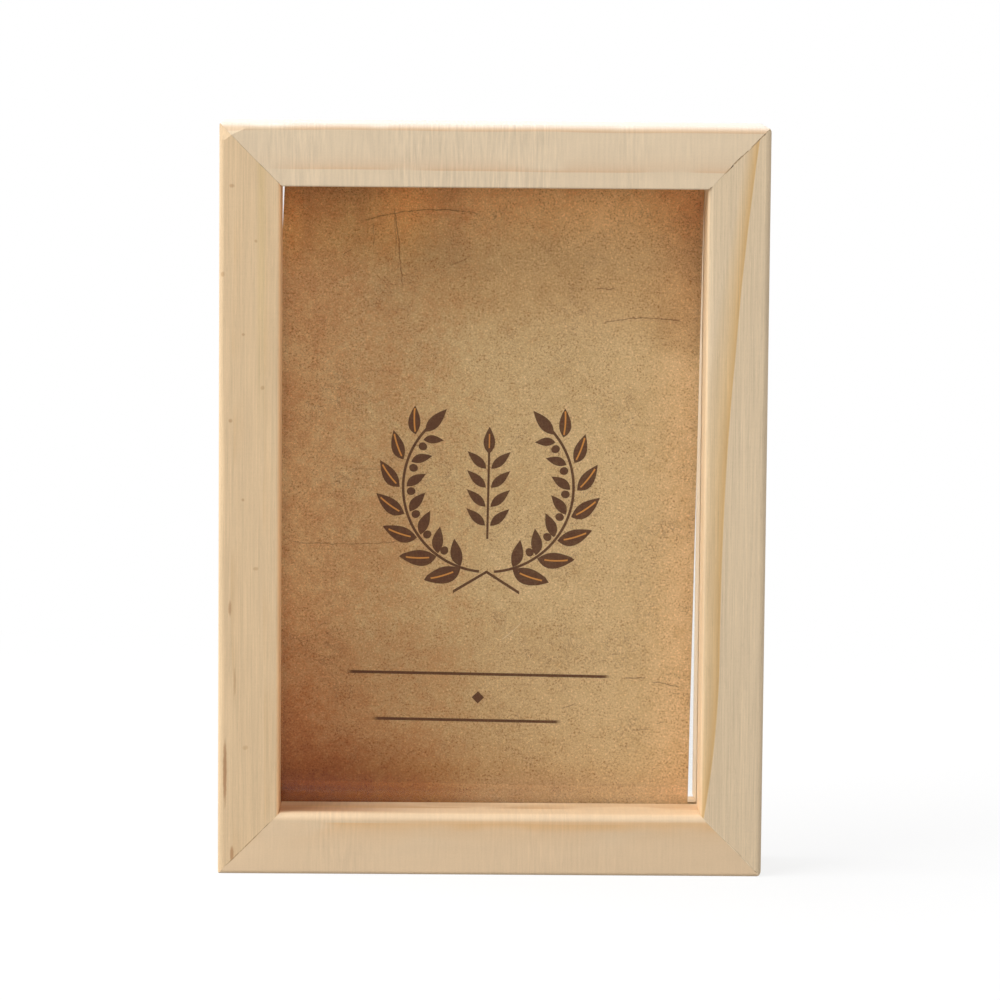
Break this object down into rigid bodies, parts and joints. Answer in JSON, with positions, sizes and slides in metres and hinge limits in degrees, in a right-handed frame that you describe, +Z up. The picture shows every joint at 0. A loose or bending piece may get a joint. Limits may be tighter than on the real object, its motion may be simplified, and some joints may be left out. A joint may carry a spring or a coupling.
{
  "type": "picture frame",
  "caption": "Deep mitred wooden picture frame that holds a card between two clear panes, with turn buttons and a hanger on its back.",
  "frame": {"origin": "on the surface that the frame stands on, under the middle of its bounding box", "axes": "+X to the right as seen from the front, +Y from the front to the back, +Z up"},
  "size_m": [0.13, 0.0307, 0.179],
  "materials": {
    "top_rail_pine": "matte",
    "bottom_rail_pine": "matte",
    "left_rail_pine": "matte",
    "right_rail_pine": "matte",
    "strip_pine": "matte",
    "clear_glass": "gloss",
    "kraft_card": "matte",
    "nail_steel": "satin",
    "button_brass": "satin",
    "screw_steel": "satin",
    "hanger_brass": "satin",
    "hanger_nail_brass": "satin"
  },
  "bodies": {
    "frame": {"top_rail": "top_rail_pine", "bottom_rail": "bottom_rail_pine", "left_rail": "left_rail_pine", "right_rail": "right_rail_pine", "top_strip": "strip_pine", "bottom_strip": "strip_pine", "left_strip": "strip_pine", "right_strip": "strip_pine", "front_pane": "clear_glass", "rear_pane": "clear_glass", "printed_card": "kraft_card", "top_left_vee_nail": "nail_steel", "top_right_vee_nail": "nail_steel", "bottom_left_vee_nail": "nail_steel", "bottom_right_vee_nail": "nail_steel", "left_upper_screw": "screw_steel", "left_lower_screw": "screw_steel", "right_upper_screw": "screw_steel", "right_lower_screw": "screw_steel", "sawtooth_hanger": "hanger_brass", "left_hanger_nail": "hanger_nail_brass", "right_hanger_nail": "hanger_nail_brass"},
    "left_upper_turn_button": {"left_upper_button": "button_brass"},
    "left_lower_turn_button": {"left_lower_button": "button_brass"},
    "right_upper_turn_button": {"right_upper_button": "button_brass"},
    "right_lower_turn_button": {"right_lower_button": "button_brass"}
  },
  "joints": [
    {"name": "left_upper_turn", "type": "hinge", "parent": "frame", "child": "left_upper_turn_button", "pos_m": [-0.0588, 0.01325, 0.1355], "axis": [0, 1, 0], "continuous": true},
    {"name": "left_lower_turn", "type": "hinge", "parent": "frame", "child": "left_lower_turn_button", "pos_m": [-0.0588, 0.01325, 0.0435], "axis": [0, 1, 0], "continuous": true},
    {"name": "right_upper_turn", "type": "hinge", "parent": "frame", "child": "right_upper_turn_button", "pos_m": [0.0588, 0.01325, 0.1355], "axis": [0, -1, 0], "continuous": true},
    {"name": "right_lower_turn", "type": "hinge", "parent": "frame", "child": "right_lower_turn_button", "pos_m": [0.0588, 0.01325, 0.0435], "axis": [0, -1, 0], "continuous": true}
  ]
}
